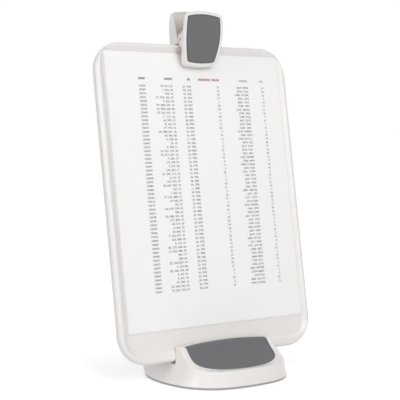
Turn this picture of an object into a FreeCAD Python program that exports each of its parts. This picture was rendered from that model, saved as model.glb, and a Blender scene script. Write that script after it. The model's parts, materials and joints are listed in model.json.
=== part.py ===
import FreeCAD, Part
import Sketcher
import math
import os
import re

# Desktop copy holder, in millimetres: a weighted foot with a dished tray, a framed board that
# leans back in a slot of the foot, and a sprung clip that holds pages against the board.
# The origin is the centre of the foot on the desk, +X is right, +Y is back and +Z is up.

doc = FreeCAD.newDocument("copy_holder")

# Driving dimensions
SIZES = {
    # How the board stands
    "tilt": 9.6,
    "slot_setback": 14.4,
    "slot_floor": 22.7,
    "slot_gap": 0.3,
    "slot_wall": 2.4,
    "slot_seat_half": 46,
    "slot_relief": 2.2,
    # Foot: its outline at the desk, at the lip and at the top of the horns, squarer at the rear
    "base_half_width": 69.4,
    "base_half_depth": 68.3,
    "base_front_radius": 146,
    "base_side_radius": 106,
    "base_corner_radius": 50,
    "base_rear_depth": 64,
    "base_rear_corner": 45,
    "lip_half_width": 60,
    "lip_half_depth": 66,
    "lip_front_radius": 132,
    "lip_side_radius": 300,
    "lip_corner_radius": 38,
    "lip_rear_depth": 69.6,
    "lip_rear_corner": 13,
    "horn_half_width": 57,
    "horn_half_depth": 60,
    "horn_front_radius": 132,
    "horn_side_radius": 300,
    "horn_corner_radius": 35,
    "horn_rear_depth": 70.6,
    "horn_rear_corner": 11,
    "base_wall": 2.5,
    "lip_height": 17.9,
    "horn_height": 34.6,
    "ridge_height": 39.2,
    "lip_round": 2,
    "swoop_front": 56.5,
    "swoop_radius": 43,
    "horn_round": 6,
    "rear_height": 32,
    "rear_lip_height": 15,
    "rear_sweep_start": 50,
    "rear_sweep_radius": 60,
    "rear_round": 8,
    # Tray pad in the front of the foot
    "tray_half_width": 49.9,
    "tray_front": 59,
    "tray_back": 13.8,
    "tray_back_bow": 1.6,
    "tray_front_radius": 68,
    "tray_corner_radius": 16,
    "tray_back_corner": 4,
    "tray_sink": 0.6,
    "tray_thick": 2.4,
    "tray_gap": 0.15,
    # Underside of the foot
    "foot_proud": 0.6,
    "plate_thick": 2,
    "plate_inset": 0.9,
    "foot_radius": 7.5,
    "foot_sink": 1,
    "foot_gap": 0.2,
    "foot_x": 38,
    "foot_y": 44,
    "column_radius": 4.2,
    "base_screw_x": 46,
    "base_screw_y": 30,
    "base_screw_radius": 1.5,
    "base_screw_length": 9,
    "ballast_length": 74,
    "ballast_width": 84,
    "ballast_thick": 7,
    "ballast_shift": 5,
    "ballast_corner": 6,
    "ballast_screw_x": 26,
    "ballast_screw_y": 30,
    "ballast_screw_radius": 2,
    "ballast_screw_length": 6,
    "screw_head_radius": 3,
    "screw_head_thick": 1.2,
    "screw_gap": 0.2,
    "socket_share": 0.5,
    # Board
    "board_width": 236.6,
    "board_height": 320.4,
    "board_thick": 7.3,
    "board_corner_radius": 31,
    "board_edge_round": 3.5,
    "board_wall": 2.2,
    "recess_depth": 2.8,
    "recess_side_margin": 9.2,
    "recess_top_margin": 8.5,
    "recess_foot_margin": 11.9,
    "recess_bevel": 4.4,
    "recess_foot_corner": 14,
    "recess_top_corner": 1,
    "recess_mouth_corner": 18,
    "floor_wall": 2,
    "back_panel_gap": 0.2,
    "back_panel_sink": 0.3,
    "back_panel_skin": 1.2,
    "back_panel_frame": 10,
    "back_panel_rib": 2.4,
    "board_screw_inset": 5.6,
    "board_screw_radius": 1.1,
    "board_screw_length": 4.6,
    "board_screw_head_radius": 2.2,
    "board_screw_head_thick": 0.9,
    # Pages
    "page_width": 215.9,
    "page_height": 279.4,
    "page_stack": 0.8,
    "page_foot": 31.6,
    "page_shift": 0.7,
    # Clip, measured from the axis of its pin
    "pivot_forward": 2.5,
    "pivot_rise": 4.8,
    "pin_radius": 1.5,
    "pin_gap": 0.05,
    "pin_half_length": 17.8,
    "ring_thick": 0.8,
    "ring_radius": 2.9,
    "ring_groove": 0.4,
    "plate_skin": 2.4,
    "skirt": 2,
    "inlay_thick": 1.3,
    "inlay_gap": 0.15,
    "inlay_border": 3,
    # Its front lever: height, outline and bowed faces
    "front_top": 24.5,
    "front_foot": 29.4,
    "front_half_width": 24,
    "front_knee": 4.1,
    "front_side_radius": 100,
    "front_top_arch": 85,
    "front_foot_arch": 100,
    "front_top_corner": 5,
    "front_foot_corner": 6.3,
    "front_reach": 23.6,
    "front_reach_rise": 51.2,
    "front_bow": 187,
    "front_edge_reach": 25.2,
    "front_edge_rise": 65,
    "front_edge_bow": 180,
    "front_ear_half_width": 18,
    "front_boss": 5.2,
    "front_ear_top": 12,
    "front_ear_foot": 14,
    # Its back lever
    "back_top": 31,
    "back_foot": 30,
    "back_half_width": 20.3,
    "back_knee": 0,
    "back_side_radius": 2000,
    "back_top_arch": 140,
    "back_foot_arch": 100,
    "back_top_corner": 4,
    "back_foot_corner": 8,
    "back_reach": 15.8,
    "back_reach_rise": 5.2,
    "back_bow": 50,
    "back_foot_bow": 600,
    "back_edge_reach": 3.5,
    "back_edge_rise": -5,
    "back_edge_bow": 100,
    "back_ear_half_width": 15.9,
    "back_boss": 4,
    "back_ear_top": 11,
    "ear_thick": 1.8,
    "ear_clearance": 0.6,
    # Jaws and their grips
    "jaw_half_width": 12.5,
    "jaw_top": 15,
    "jaw_foot": 25,
    "grip_thick": 1.5,
    "grip_gap": 0.15,
    "grip_groove": 0.5,
    # Spring round the pin
    "wire_radius": 0.55,
    "coil_radius": 3.1,
    "coil_pitch": 1.75,
    "coil_turns": 5,
    "leg_height": 14,
    "leg_gap": 0.3,
    # Cuts run this far past what they cut
    "overrun": 3,
}

sheet = doc.addObject("Spreadsheet::Sheet", "sizes")
for row, (alias, size) in enumerate(SIZES.items(), start=1):
    sheet.set(f"A{row}", alias)
    sheet.set(f"B{row}", str(size))
    sheet.setAlias(f"B{row}", alias)
doc.recompute()

NAME = re.compile(r"[a-z][a-z_]*")


def tied(formula):
    """The formula with every size in it read from the sheet."""
    return NAME.sub(lambda word: f"sizes.{word[0]}" if word[0] in SIZES else word[0], formula)


def value(formula):
    """What a formula of the sheet's sizes comes to."""
    return float(sheet.evalExpression(tied(formula)))


def new_body(label):
    return doc.addObject("PartDesign::Body", label)


def place(piece, y, z, angle="0"):
    """Put a piece at a height and a depth, turned back about X by an angle in degrees."""
    piece.Placement = FreeCAD.Placement(FreeCAD.Vector(), FreeCAD.Rotation(FreeCAD.Vector(1, 0, 0), -1))
    piece.setExpression(".Placement.Base.y", tied(y))
    piece.setExpression(".Placement.Base.z", tied(z))
    piece.setExpression(".Placement.Rotation.Angle", tied(angle))


def leaning(y, z):
    """A place on the board, from the front of its lower edge, in the frame of the whole object."""
    return (f"-slot_setback + ({y}) * cos(tilt) + ({z}) * sin(tilt)",
            f"slot_floor - ({y}) * sin(tilt) + ({z}) * cos(tilt)")


def lean(piece, y="0", z="0"):
    """Lean a piece back with the board, its own origin at a place on the board."""
    place(piece, *leaning(y, z), "-tilt")


def new_sketch(body, role, offset="0"):
    """A sketch on one of the body's own origin planes, or parallel to it."""
    plane = next(item for item in body.Origin.OriginFeatures if item.Role == role)
    sketch = body.newObject("Sketcher::SketchObject", f"{body.Name}_{role}")
    sketch.AttachmentSupport = [(plane, "")]
    sketch.MapMode = "FlatFace"
    sketch.setExpression(".AttachmentOffset.Base.z", tied(offset))
    return sketch


def pin_down(sketch, geometry, end, x, y):
    """Hold one end of a line or arc, or a centre, at two formulas."""
    for kind, axis, formula in (("DistanceX", -2, x), ("DistanceY", -1, y)):
        if formula == "0":
            sketch.addConstraint(Sketcher.Constraint("PointOnObject", geometry, end, axis))
        else:
            index = sketch.addConstraint(Sketcher.Constraint(kind, -1, 1, geometry, end, value(formula)))
            sketch.setExpression(f"Constraints[{index}]", tied(formula))


def set_radius(sketch, geometry, radius):
    index = sketch.addConstraint(Sketcher.Constraint("Radius", geometry, value(radius)))
    sketch.setExpression(f"Constraints[{index}]", tied(radius))


def circle(sketch, x, y, radius):
    centre = FreeCAD.Vector(value(x), value(y), 0)
    ring = sketch.addGeometry(Part.Circle(centre, FreeCAD.Vector(0, 0, 1), value(radius)))
    pin_down(sketch, ring, 3, x, y)
    set_radius(sketch, ring, radius)


def outline(sketch, points):
    """A closed outline. Each point is (x, y), reached by a straight run, or (x, y, turn, radius),
    reached by an arc that turns to the "left" or the "right"."""
    spots = [FreeCAD.Vector(value(point[0]), value(point[1]), 0) for point in points]
    ends = []
    for number, point in enumerate(points):
        before, here = spots[number - 1], spots[number]
        if len(point) == 2:
            run = sketch.addGeometry(Part.LineSegment(before, here))
            ends.append((run, 1, 2))
            continue
        radius = value(point[3])
        side = 1 if point[2] == "left" else -1
        chord = here - before
        middle = (before + here) * 0.5
        off = math.sqrt(max(radius ** 2 - (chord.Length / 2) ** 2, 0))
        normal = FreeCAD.Vector(-chord.y, chord.x, 0).normalize()
        centre = middle + normal * (off * side)
        angles = [math.atan2(spot.y - centre.y, spot.x - centre.x) for spot in (before, here)]
        if side < 0:
            angles.reverse()
        full = Part.Circle(centre, FreeCAD.Vector(0, 0, 1), radius)
        run = sketch.addGeometry(Part.ArcOfCircle(full, *angles))
        ends.append((run, 1, 2) if side > 0 else (run, 2, 1))
    for number, (run, start, end) in enumerate(ends):
        following, following_start, _ = ends[(number + 1) % len(ends)]
        sketch.addConstraint(Sketcher.Constraint("Coincident", run, end, following, following_start))
    for (run, start, end), point in zip(ends, points):
        pin_down(sketch, run, end, point[0], point[1])
        if len(point) > 2:
            set_radius(sketch, run, point[3])


def rounded_rectangle(sketch, left, foot, right, top, radius, top_radius=None):
    """A rectangle with one radius at its corners, or another at the upper two."""
    upper = top_radius or radius
    outline(sketch, [
        (f"({right}) - ({radius})", foot),
        (right, f"({foot}) + ({radius})", "left", radius),
        (right, f"({top}) - ({upper})"),
        (f"({right}) - ({upper})", top, "left", upper),
        (f"({left}) + ({upper})", top),
        (left, f"({top}) - ({upper})", "left", upper),
        (left, f"({foot}) + ({radius})"),
        (f"({left}) + ({radius})", foot, "left", radius),
    ])


def frame_around(sketch, half_width, low, high):
    """A rectangle that stands clear of what is cut to shape inside it."""
    other = f"-({half_width})"
    outline(sketch, [(half_width, low), (half_width, high), (other, high), (other, low)])


def feature(body, kind, name):
    return body.newObject(f"PartDesign::{kind}", f"{body.Name}_{name}")


def extrude(body, kind, sketch, length=None, reverse=False, middle=False):
    """A Pad or a Pocket. With no length a pocket goes through all, both ways from its sketch."""
    item = feature(body, kind, kind.lower())
    item.Profile = sketch
    if length is None:
        item.Type = "ThroughAll"
        item.SideType = "Symmetric"
    else:
        item.setExpression("Length", tied(length))
        item.SideType = "Symmetric" if middle else "One side"
        item.Reversed = reverse
    body.Tip = item
    before = item.BaseFeature.Shape.Volume if item.BaseFeature else 0
    doc.recompute()
    changed = item.Shape.Volume - before
    if (changed <= 0) if kind == "Pad" else (changed >= 0):
        raise RuntimeError(f"{item.Name} changed nothing")
    return item


def pad(body, sketch, length, reverse=False, middle=False):
    return extrude(body, "Pad", sketch, length, reverse, middle)


def pocket(body, sketch, length=None, reverse=False, middle=False):
    return extrude(body, "Pocket", sketch, length, reverse, middle)


def loft(body, kind, sketches):
    item = feature(body, kind, "loft")
    item.Profile = sketches[0]
    item.Sections = sketches[1:]
    body.Tip = item
    doc.recompute()
    return item


def mirror(body, role, originals):
    item = feature(body, "Mirrored", "mirror")
    item.Originals = originals
    item.MirrorPlane = (next(plane for plane in body.Origin.OriginFeatures if plane.Role == role), [""])
    body.Tip = item
    doc.recompute()
    return item


def fillet(body, radius, wanted):
    """Round the edges of the body's last feature for which wanted(edge) is true."""
    last = body.Tip
    names = [f"Edge{number + 1}" for number, edge in enumerate(last.Shape.Edges) if wanted(edge)]
    if not names:
        raise RuntimeError(f"{body.Name} has no edge to round")
    item = feature(body, "Fillet", "fillet")
    item.Base = (last, names)
    item.setExpression("Radius", tied(radius))
    body.Tip = item
    doc.recompute()
    return item


def subtract(body, tools):
    item = feature(body, "Boolean", "cut")
    item.Type = "Cut"
    item.setObjects(tools)
    body.Tip = item
    doc.recompute()
    return item


# Foot
SHELL_FOOT = "foot_proud + plate_thick"
SLOT_MOUTH = "ridge_height"


def four_sided(sketch, sides, bends):
    """An outline of four bowed sides and the corners that join them smoothly, in the order top, left,
    foot, right. A side is its arc's (x, y, radius); the corner after it is a radius."""
    outward = (FreeCAD.Vector(0, 1), FreeCAD.Vector(-1, 0), FreeCAD.Vector(0, -1), FreeCAD.Vector(1, 0))
    centres = [FreeCAD.Vector(value(x), value(y), 0) for x, y, _ in sides]
    radii = [value(radius) for _, _, radius in sides]
    rounds = [value(bend) for bend in bends]
    middles = []
    for number, corner in enumerate(rounds):
        after = (number + 1) % len(sides)
        apart = centres[after] - centres[number]
        reach, reach_after = radii[number] - corner, radii[after] - corner
        along = (reach ** 2 - reach_after ** 2 + apart.Length ** 2) / (2 * apart.Length)
        aside = math.sqrt(reach ** 2 - along ** 2)
        normal = FreeCAD.Vector(-apart.y, apart.x, 0).normalize()
        if normal.dot(outward[number] + outward[after]) < 0:
            normal = -normal
        middles.append(centres[number] + apart.normalize() * along + normal * aside)

    def angle(centre, spot):
        return math.atan2(spot.y - centre.y, spot.x - centre.x)

    for number, (x, y, radius) in enumerate(sides):
        after = (number + 1) % len(sides)
        side = Part.Circle(centres[number], FreeCAD.Vector(0, 0, 1), radii[number])
        ends = [angle(centres[number], middles[number - 1]), angle(centres[number], middles[number])]
        run = sketch.addGeometry(Part.ArcOfCircle(side, *ends))
        pin_down(sketch, run, 3, x, y)
        set_radius(sketch, run, radius)
        corner = Part.Circle(middles[number], FreeCAD.Vector(0, 0, 1), rounds[number])
        leave = angle(centres[after], middles[number])
        turn = sketch.addGeometry(Part.ArcOfCircle(corner, ends[1], leave))
        set_radius(sketch, turn, bends[number])
    count = 2 * len(sides)
    first = sketch.GeometryCount - count
    for number in range(count):
        after = first + (number + 1) % count
        sketch.addConstraint(Sketcher.Constraint("Tangent", first + number, 2, after, 1))


def footprint(sketch, level, inset):
    """The foot's outline at one of its levels, drawn in by an inset."""
    half_width, half_depth, rear_depth, front, side, corner, rear_corner = (
        f"{level}_{part} - {inset}" for part in (
            "half_width", "half_depth", "rear_depth", "front_radius", "side_radius", "corner_radius",
            "rear_corner"))
    flat_x = f"{half_width} - ({side})"
    four_sided(sketch, [
        ("0", f"{rear_depth} - ({front})", front),
        (f"-({flat_x})", "0", side),
        ("0", f"-({half_depth} - ({front}))", front),
        (flat_x, "0", side),
    ], [rear_corner, corner, corner, rear_corner])


def front_sweep(drop, top):
    """The top line of the foot's front half, lowered by a drop: lip, hollow sweep and round horn."""
    radius, bend = f"(swoop_radius + {drop})", f"(horn_round - {drop})"
    fall = f"(lip_height + swoop_radius - {top} + horn_round)"
    whole = "(swoop_radius + horn_round)"
    run = f"sqrt({whole}^2 - {fall}^2)"
    lip = f"lip_height - {drop}"
    return [
        ("-base_half_depth - overrun", lip),
        ("-swoop_front", lip),
        (f"-swoop_front + {run} * {radius} / {whole}",
         f"lip_height + swoop_radius - {fall} * {radius} / {whole}", "left", radius),
        (f"-swoop_front + {run}", f"{top} - {drop}", "right", bend),
    ]


def rear_sweep(drop):
    """The top line of the rear half, the same way, on to the back of the foot."""
    radius, bend = f"(rear_sweep_radius + {drop})", f"(rear_round - {drop})"
    fall = "(rear_lip_height + rear_sweep_radius - rear_height + rear_round)"
    whole = "(rear_sweep_radius + rear_round)"
    run = f"sqrt({whole}^2 - {fall}^2)"
    return [
        (f"rear_sweep_start - {run}", f"rear_height - {drop}"),
        (f"rear_sweep_start - {run} * {radius} / {whole}",
         f"rear_lip_height + rear_sweep_radius - {fall} * {radius} / {whole}", "right", bend),
        ("rear_sweep_start", f"rear_lip_height - {drop}", "left", radius),
        ("horn_rear_depth + overrun", f"rear_lip_height - {drop}"),
    ]


def arched_loft(body, kind, profile):
    """A loft across the foot from side to side. Its profile at a side is drawn for the horns'
    height, and in the middle for the higher ridge."""
    across = ("-base_half_width", "0", "base_half_width")
    sketches = []
    for place_x, top in zip(across, ("horn_height", "ridge_height", "horn_height")):
        sketch = new_sketch(body, "YZ_Plane", place_x)
        outline(sketch, profile(top))
        sketches.append(sketch)
    return loft(body, kind, sketches)


def cut_top(body, front_drop, rear_drop):
    """Cut a body of the foot along its top line, stepping down inside the board's slot."""
    step, _ = leaning("board_thick / 2", "0")

    def profile(top):
        return front_sweep(front_drop, top) + [
            (step, f"{top} - {front_drop}"),
            (step, f"rear_height - {rear_drop}"),
        ] + rear_sweep(rear_drop) + [
            ("horn_rear_depth + overrun", "ridge_height + 3 * overrun"),
            ("-base_half_depth - overrun", "ridge_height + 3 * overrun"),
        ]

    return arched_loft(body, "SubtractiveLoft", profile)


def slot_section(sketch, grow, deeper):
    """The leaning slot from the side, grown by a wall and cut deeper below the board's edge."""
    front, back, floor = f"-slot_gap - {grow}", f"board_thick + slot_gap + {grow}", f"-{grow} - {deeper}"
    outline(sketch, [leaning(front, floor), leaning(back, floor),
                     leaning(back, SLOT_MOUTH), leaning(front, SLOT_MOUTH)])


def slot(body, grow, deeper="0"):
    """Cut the slot through a body from side to side."""
    sketch = new_sketch(body, "YZ_Plane")
    slot_section(sketch, grow, deeper)
    return pocket(body, sketch)


def deepen_slot_ends(body):
    """Leave the board standing on the middle of the slot's floor, clear of it at both ends."""
    sketch = new_sketch(body, "YZ_Plane", "slot_seat_half")
    slot_section(sketch, "0", "slot_relief")
    end = pocket(body, sketch, "base_half_width - slot_seat_half", reverse=True)
    mirror(body, "YZ_Plane", [end])


def foot_block(body, wall):
    """The foot's leaning outer form, or with a wall the space inside it."""
    levels = (("base", SHELL_FOOT), ("lip", "lip_height"), ("horn", "ridge_height + overrun"))
    sketches = []
    for level, height in levels:
        sketch = new_sketch(body, "XY_Plane", height)
        footprint(sketch, level, wall)
        sketches.append(sketch)
    return loft(body, "AdditiveLoft", sketches)


def tray_outline(sketch, gap):
    """The tray pad seen from above: a bowed back edge, straight sides and a round front."""
    half, front = f"(tray_half_width + {gap})", f"(tray_front + {gap})"
    arch, corner = f"(tray_front_radius + {gap})", f"(tray_corner_radius + {gap})"
    tight = f"(tray_back_corner + {gap})"
    rise = f"sqrt(({arch} - {corner})^2 - ({half} - {corner})^2)"
    grow = f"{arch} / ({arch} - {corner})"
    side, touch = f"-{front} + {arch} - {rise}", f"-{front} + {arch} - {rise} * {grow}"
    touch_x = f"({half} - {corner}) * {grow}"
    back = f"-tray_back - tray_back_bow + {gap}"
    span = f"({half} - {tight})"
    bow = f"({span}^2 + tray_back_bow^2) / (2 * tray_back_bow)"
    outline(sketch, [
        (touch_x, touch, "left", arch),
        (half, side, "left", corner),
        (half, f"{back} - {tight}"),
        (span, back, "left", tight),
        (f"-{span}", back, "left", bow),
        (f"-{half}", f"{back} - {tight}", "left", tight),
        (f"-{half}", side),
        (f"-{touch_x}", touch, "left", corner),
    ])


def keep_tray_outline(body, gap):
    """Cut away all of a body that lies outside the tray's outline."""
    sketch = new_sketch(body, "XY_Plane")
    frame_around(sketch, "base_half_width + overrun", "-base_half_depth - 2 * overrun", "base_half_depth")
    tray_outline(sketch, gap)
    return pocket(body, sketch)


def four_places(x, y):
    return [(f"{side} * {x}", f"{end} * {y}") for side in (-1, 1) for end in (-1, 1)]


def make_core():
    """The hollow of the foot: its chamber less the slot's walls and the screw columns."""
    body = new_body("foot_hollow")
    foot_block(body, "base_wall")
    drop = "(tray_sink + tray_thick + base_wall)"
    cut_top(body, drop, "base_wall")
    slot(body, "slot_wall", "slot_relief")
    sketch = new_sketch(body, "XY_Plane")
    for x, y in four_places("base_screw_x", "base_screw_y"):
        circle(sketch, x, y, "column_radius")
    pocket(body, sketch)
    return body


def make_tray_seat():
    """What is cut from the foot to seat the tray pad."""
    body = new_body("tray_seat")
    drop = "(tray_sink + tray_thick)"

    def profile(top):
        return front_sweep(drop, top) + [
            ("base_half_depth", f"{top} - {drop}"),
            ("base_half_depth", "ridge_height + 2 * overrun"),
            ("-base_half_depth - overrun", "ridge_height + 2 * overrun"),
        ]

    arched_loft(body, "AdditiveLoft", profile)
    keep_tray_outline(body, "tray_gap")
    return body


def make_base_shell():
    body = new_body("base_shell")
    foot_block(body, "0")
    cut_top(body, "0", "0")
    low = value(SHELL_FOOT) + value("overrun")

    def on_lip(edge):
        box = edge.BoundBox
        straight_across = edge.Curve.TypeId == "Part::GeomLine" and box.YLength < box.XLength
        return box.ZMin > low and not straight_across

    fillet(body, "lip_round", on_lip)
    subtract(body, [make_core(), make_tray_seat()])
    slot(body, "0")
    deepen_slot_ends(body)
    sketch = new_sketch(body, "XY_Plane", SHELL_FOOT)
    for x, y in four_places("base_screw_x", "base_screw_y"):
        circle(sketch, x, y, "base_screw_radius")
    pocket(body, sketch, "base_screw_length - plate_thick + screw_head_thick", reverse=True)
    return body


def make_tray_pad():
    body = new_body("tray_pad")

    def profile(top):
        under, over = front_sweep("(tray_sink + tray_thick)", top), front_sweep("tray_sink", top)
        # The upper line runs back towards the front, so its arcs turn the other way
        turned = [over[3][:2], over[2][:2] + ("left", over[3][3]), over[1][:2] + ("right", over[2][3]),
                  over[0][:2]]
        return under + [("0", under[-1][1]), ("0", over[-1][1])] + turned

    arched_loft(body, "AdditiveLoft", profile)
    keep_tray_outline(body, "0")
    return body


def make_bottom_plate():
    body = new_body("bottom_plate")
    sketch = new_sketch(body, "XY_Plane", "foot_proud")
    footprint(sketch, "base", "plate_inset")
    pad(body, sketch, "plate_thick")
    holes = (
        (four_places("foot_x", "foot_y"), "foot_radius + foot_gap", "foot_sink"),
        (four_places("base_screw_x", "base_screw_y"), "screw_head_radius + screw_gap", "screw_head_thick"),
        (four_places("base_screw_x", "base_screw_y"), "base_screw_radius + screw_gap", "plate_thick"),
    )
    for places, radius, depth in holes:
        sketch = new_sketch(body, "XY_Plane", "foot_proud")
        for x, y in places:
            circle(sketch, x, y, radius)
        pocket(body, sketch, depth, reverse=True)
    for radius, depth in (("screw_head_radius + screw_gap", "screw_head_thick"),
                          ("ballast_screw_radius + screw_gap", "plate_thick")):
        sketch = new_sketch(body, "XY_Plane", "foot_proud")
        for x, y in four_places("ballast_screw_x", "ballast_screw_y"):
            circle(sketch, x, f"ballast_shift + {y}", radius)
        pocket(body, sketch, depth, reverse=True)
    return body


def make_foot_pads():
    body = new_body("foot_pads")
    sketch = new_sketch(body, "XY_Plane")
    for x, y in four_places("foot_x", "foot_y"):
        circle(sketch, x, y, "foot_radius")
    pad(body, sketch, "foot_proud + foot_sink")
    return body


def make_ballast():
    body = new_body("ballast_plate")
    place(body, "ballast_shift", SHELL_FOOT)
    sketch = new_sketch(body, "XY_Plane")
    rounded_rectangle(sketch, "-ballast_length / 2", "-ballast_width / 2", "ballast_length / 2",
                      "ballast_width / 2", "ballast_corner")
    pad(body, sketch, "ballast_thick")
    sketch = new_sketch(body, "XY_Plane")
    for x, y in four_places("ballast_screw_x", "ballast_screw_y"):
        circle(sketch, x, y, "ballast_screw_radius")
    pocket(body, sketch, "ballast_screw_length", reverse=True)
    return body


def hexagon(sketch, x, y, radius):
    """A hexagonal socket about a place."""
    half, deep = f"{radius} / 2", f"{radius} * sqrt(3) / 2"
    outline(sketch, [(f"({x}) + {along}", f"({y}) + {up}") for along, up in (
        (radius, "0"), (half, deep), (f"-{half}", deep), (f"-{radius}", "0"), (f"-{half}", f"-{deep}"),
        (half, f"-{deep}"))])


def make_screws(label, places, role, outward, head_radius, head_thick, radius, length):
    """A group of like screws, heads on the plane of their places and shanks going in."""
    body = new_body(label)
    rounds = ((head_radius, head_thick, "0"), (radius, length, "0"))
    for size, depth, offset in rounds:
        sketch = new_sketch(body, role, offset)
        for x, y in places:
            circle(sketch, x, y, size)
        pad(body, sketch, depth, reverse=outward)
    sketch = new_sketch(body, role)
    for x, y in places:
        hexagon(sketch, x, y, f"{head_radius} * socket_share")
    pocket(body, sketch, f"{head_thick} / 2", reverse=not outward)
    return body


# Board
RECESS_HALF = "board_width / 2 - recess_side_margin"


def board_screw_places():
    """Screws along the rim: a row up each side and three across the foot and the top."""
    side = "(board_width / 2 - board_screw_inset)"
    rows = [f"board_height * {step} / 4" for step in (1, 2, 3)]
    places = [(f"{sign} * {side}", row) for sign in (-1, 1) for row in rows]
    ends = ("board_screw_inset", "board_height - board_screw_inset")
    return places + [(f"{step} * board_width / 4", end) for end in ends for step in (-1, 1)]


def board_outline(sketch, inset):
    rounded_rectangle(sketch, f"-board_width / 2 + {inset}", inset, f"board_width / 2 - {inset}",
                      f"board_height - {inset}", f"board_corner_radius - {inset}")


def recess_outline(sketch, grow, foot_corner, top_corner):
    rounded_rectangle(sketch, f"-({RECESS_HALF}) - {grow}", f"recess_foot_margin - {grow}",
                      f"{RECESS_HALF} + {grow}", f"board_height - recess_top_margin + {grow}",
                      foot_corner, top_corner)


def make_board_front():
    body = new_body("board_front_panel")
    lean(body)
    sketch = new_sketch(body, "XZ_Plane")
    board_outline(sketch, "0")
    pad(body, sketch, "board_thick", reverse=True)
    thick = value("board_thick")

    def on_front(edge):
        return edge.BoundBox.YMax < thick / 2

    fillet(body, "board_edge_round", on_front)
    mouth, floor = new_sketch(body, "XZ_Plane"), new_sketch(body, "XZ_Plane", "-recess_depth")
    recess_outline(mouth, "recess_bevel", "recess_mouth_corner", "recess_mouth_corner")
    recess_outline(floor, "0", "recess_foot_corner", "recess_top_corner")
    loft(body, "SubtractiveLoft", [mouth, floor])
    sketch = new_sketch(body, "XZ_Plane", "-board_thick")
    board_outline(sketch, "board_wall")
    pocket(body, sketch, "board_thick - recess_depth - floor_wall", reverse=True)
    sketch = new_sketch(body, "XZ_Plane", "-recess_depth - floor_wall")
    for x, z in board_screw_places():
        circle(sketch, x, z, "board_screw_radius")
    behind = "board_thick - back_panel_sink - recess_depth - floor_wall"
    pocket(body, sketch, f"board_screw_length - ({behind})", reverse=True)
    return body


def make_board_back():
    body = new_body("board_back_panel")
    lean(body)
    inset = "(board_wall + back_panel_gap)"
    inner, outer = "recess_depth + floor_wall", "board_thick - back_panel_sink"
    sketch = new_sketch(body, "XZ_Plane", f"-({inner})")
    board_outline(sketch, inset)
    pad(body, sketch, f"{outer} - ({inner})", reverse=True)
    # Six shallow cells on the inner face leave a frame and ribs
    sketch = new_sketch(body, "XZ_Plane", f"-({inner})")
    across, up = 2, 3
    edge = f"({inset} + back_panel_frame)"
    wide = f"((board_width - 2 * {edge} - {across - 1} * back_panel_rib) / {across})"
    tall = f"((board_height - 2 * {edge} - {up - 1} * back_panel_rib) / {up})"
    for column in range(across):
        for row in range(up):
            left = f"(-board_width / 2 + {edge} + {column} * ({wide} + back_panel_rib))"
            foot = f"({edge} + {row} * ({tall} + back_panel_rib))"
            rounded_rectangle(sketch, left, foot, f"{left} + {wide}", f"{foot} + {tall}", "back_panel_frame")
    pocket(body, sketch, f"{outer} - ({inner}) - back_panel_skin")
    for radius, depth in (("board_screw_head_radius + screw_gap", "board_screw_head_thick"),
                          ("board_screw_radius + screw_gap", f"{outer} - ({inner})")):
        sketch = new_sketch(body, "XZ_Plane", f"-({outer})")
        for x, z in board_screw_places():
            circle(sketch, x, z, radius)
        pocket(body, sketch, depth, reverse=True)
    return body


def make_pages():
    body = new_body("held_pages")
    lean(body)
    sketch = new_sketch(body, "XZ_Plane", "-recess_depth")
    outline(sketch, [
        ("page_shift + page_width / 2", "page_foot"),
        ("page_shift + page_width / 2", "page_foot + page_height"),
        ("page_shift - page_width / 2", "page_foot + page_height"),
        ("page_shift - page_width / 2", "page_foot"),
    ])
    pad(body, sketch, "page_stack")
    return body


# Clip: each piece is drawn about the pin's axis, y back and z up along the board
PIVOT = ("-pivot_forward", "board_height + pivot_rise")
RIM_FRONT = "pivot_forward"
PAGE_FRONT = "(pivot_forward + recess_depth - page_stack)"
BOARD_BACK = "(pivot_forward + board_thick)"
BOARD_TOP = "-pivot_rise"
FRONT_SEAT = f"{PAGE_FRONT} - grip_gap - grip_thick"
BACK_SEAT = f"{BOARD_BACK} + grip_gap + grip_thick"
# Ears and jaws start half way through the plate behind the inlay
IN_PLATE = "(inlay_thick + plate_skin) / 2"


def forward_bow(reach, level, bow, z, depth="0"):
    """How far back a face lies at a height, when it bows out to the front at a level."""
    return f"{reach} + {depth} + {bow} - sqrt({bow}^2 - ({z} - ({level}))^2)"


def backward_bow(reach, level, bow, z, depth="0"):
    """The same for a face that bows out to the back."""
    return f"{reach} - {depth} - {bow} + sqrt({bow}^2 - ({z} - ({level}))^2)"


FRONT_FACE = ("-front_reach", "front_reach_rise", "front_bow")
FRONT_EDGE = ("-front_edge_reach", "front_edge_rise", "front_edge_bow")
BACK_FACE = ("back_reach", "back_reach_rise", "back_bow")
BACK_FOOT = ("back_reach", "back_reach_rise", "back_foot_bow")
BACK_EDGE = ("back_edge_reach", "back_edge_rise", "back_edge_bow")
LEVER_ENDS = {"front": ("front_top + overrun", "-front_foot - overrun"),
              "back": ("back_top + overrun", "-back_foot - overrun")}


def front_face_up(depth, top, foot):
    """The front lever's face, sunk by a depth, from its foot to its top."""
    return [(forward_bow(*FRONT_FACE, foot, depth), foot),
            (forward_bow(*FRONT_FACE, top, depth), top, "right", "front_bow")]


def front_face_down(depth, top, foot):
    return [(forward_bow(*FRONT_FACE, top, depth), top),
            (forward_bow(*FRONT_FACE, foot, depth), foot, "left", "front_bow")]


def back_face_up(depth, top, foot):
    """The back lever's face: nearly flat below the knee of its bow and round above it."""
    return [(backward_bow(*BACK_FOOT, foot, depth), foot),
            (f"back_reach - {depth}", "back_reach_rise", "left", "back_foot_bow"),
            (backward_bow(*BACK_FACE, top, depth), top, "left", "back_bow")]


def back_face_down(depth, top, foot):
    return [(backward_bow(*BACK_FACE, top, depth), top),
            (f"back_reach - {depth}", "back_reach_rise", "right", "back_bow"),
            (backward_bow(*BACK_FOOT, foot, depth), foot, "right", "back_foot_bow")]


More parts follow.
